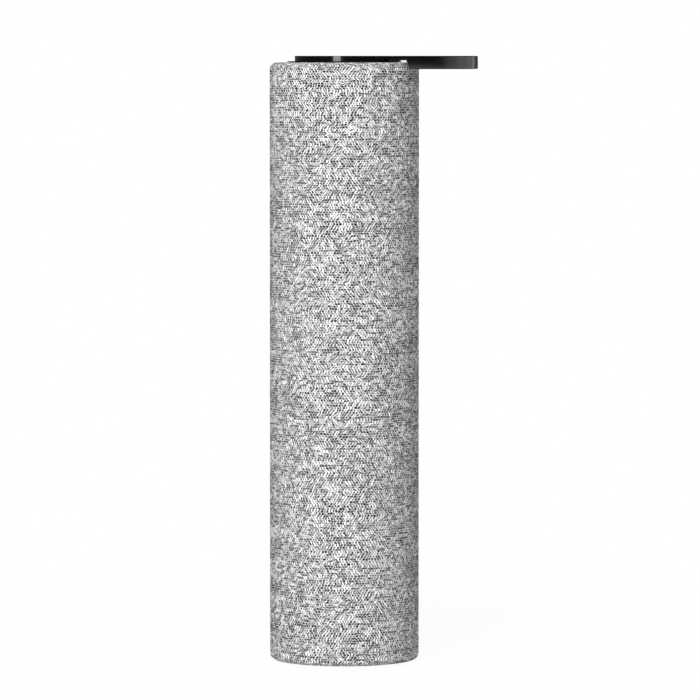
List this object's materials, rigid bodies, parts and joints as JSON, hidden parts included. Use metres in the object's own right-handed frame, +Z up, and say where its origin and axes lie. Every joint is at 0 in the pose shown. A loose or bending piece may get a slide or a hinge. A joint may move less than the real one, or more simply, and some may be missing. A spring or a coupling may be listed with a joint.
{
  "type": "smart speaker",
  "caption": "Tall cylindrical smart speaker with a knitted sleeve, gloss top cap with buttons and light ring, and a hinged carrying loop.",
  "frame": {"origin": "centre of the foot pad's underside, on the surface the speaker stands on", "axes": "+Z up along the cylinder's axis, +X towards the carrying loop, -Y the front, +Y the back with the socket panel"},
  "size_m": [0.1175, 0.0843, 0.343],
  "materials": {
    "fabric": "matte",
    "gloss_black": "gloss",
    "satin_black": "satin",
    "black_plastic": "matte",
    "rubber": "matte",
    "strap_rubber": "satin",
    "steel": "satin",
    "steel_black": "satin",
    "aluminium": "satin",
    "light_pipe": "satin",
    "circuit_board": "satin",
    "cell_wrap": "satin",
    "foam": "matte",
    "paper": "matte",
    "silk": "matte",
    "spider_cloth": "matte",
    "wire_red": "satin",
    "wire_black": "satin"
  },
  "bodies": {
    "housing": {"fabric_sleeve": "fabric", "grille_tube": "black_plastic", "foot_pad": "rubber", "base_plate": "black_plastic", "base_screw_1": "steel", "base_screw_2": "steel", "base_screw_3": "steel", "base_screw_4": "steel", "base_seal": "foam", "battery_tray": "black_plastic", "battery_cell_1": "cell_wrap", "battery_cell_2": "cell_wrap", "battery_cell_3": "cell_wrap", "battery_cap": "black_plastic", "battery_board": "circuit_board", "rear_panel": "black_plastic", "io_board": "circuit_board", "usb_socket": "steel", "status_lens": "light_pipe", "spacer_cage": "black_plastic", "passive_frame": "black_plastic", "passive_surround": "rubber", "enclosure": "black_plastic", "woofer_basket": "steel_black", "woofer_magnet": "steel", "woofer_surround": "rubber", "woofer_spider": "spider_cloth", "woofer_gasket": "foam", "lower_diffuser": "black_plastic", "tweeter_frame": "black_plastic", "upper_diffuser": "black_plastic", "main_board": "circuit_board", "board_rail_left": "black_plastic", "board_rail_right": "black_plastic", "heat_sink": "aluminium", "antenna_board": "circuit_board", "top_frame": "black_plastic", "trim_ring": "gloss_black", "deck_screw_1": "steel", "deck_screw_2": "steel", "deck_screw_3": "steel", "deck_screw_4": "steel", "top_cap": "gloss_black", "light_ring": "light_pipe", "keypad_mat": "rubber", "top_board": "circuit_board", "strap_pin_front": "steel", "strap_pin_rear": "steel", "battery_lead": "wire_red", "woofer_lead": "wire_black", "io_lead": "wire_black"},
    "strap": {"strap": "strap_rubber"},
    "action_button": {"action_button": "satin_black"},
    "volume_up_button": {"volume_up_button": "satin_black"},
    "mute_button": {"mute_button": "satin_black"},
    "volume_down_button": {"volume_down_button": "satin_black"},
    "power_button": {"power_button": "satin_black"},
    "woofer_cone": {"woofer_cone": "paper"},
    "tweeter_dome": {"tweeter_dome": "silk"},
    "passive_cone": {"passive_cone": "black_plastic"}
  },
  "joints": [
    {"name": "strap_hinge", "type": "hinge", "parent": "housing", "child": "strap", "pos_m": [0.018, 0, 0.3414], "axis": [0, -1, 0], "range_deg": [0, 100]},
    {"name": "action_button_press", "type": "slide", "parent": "housing", "child": "action_button", "axis": [0, 0, -1], "range_m": [0, 0.0006], "stiffness_N_per_m": 400},
    {"name": "volume_up_button_press", "type": "slide", "parent": "housing", "child": "volume_up_button", "axis": [0, 0, -1], "range_m": [0, 0.0006], "stiffness_N_per_m": 400},
    {"name": "mute_button_press", "type": "slide", "parent": "housing", "child": "mute_button", "axis": [0, 0, -1], "range_m": [0, 0.0006], "stiffness_N_per_m": 400},
    {"name": "volume_down_button_press", "type": "slide", "parent": "housing", "child": "volume_down_button", "axis": [0, 0, -1], "range_m": [0, 0.0006], "stiffness_N_per_m": 400},
    {"name": "power_button_press", "type": "slide", "parent": "housing", "child": "power_button", "axis": [0, -1, 0], "range_m": [0, 0.0005], "stiffness_N_per_m": 400},
    {"name": "woofer_travel", "type": "slide", "parent": "housing", "child": "woofer_cone", "axis": [0, 0, 1], "range_m": [-0.0025, 0.0025], "stiffness_N_per_m": 1500, "deforming": ["woofer_surround", "woofer_spider"]},
    {"name": "tweeter_travel", "type": "slide", "parent": "housing", "child": "tweeter_dome", "axis": [0, 0, 1], "range_m": [-0.0002, 0.0002], "stiffness_N_per_m": 2000},
    {"name": "passive_travel", "type": "slide", "parent": "housing", "child": "passive_cone", "axis": [0, 0, 1], "range_m": [-0.003, 0.003], "stiffness_N_per_m": 1000, "deforming": ["passive_surround"]}
  ]
}
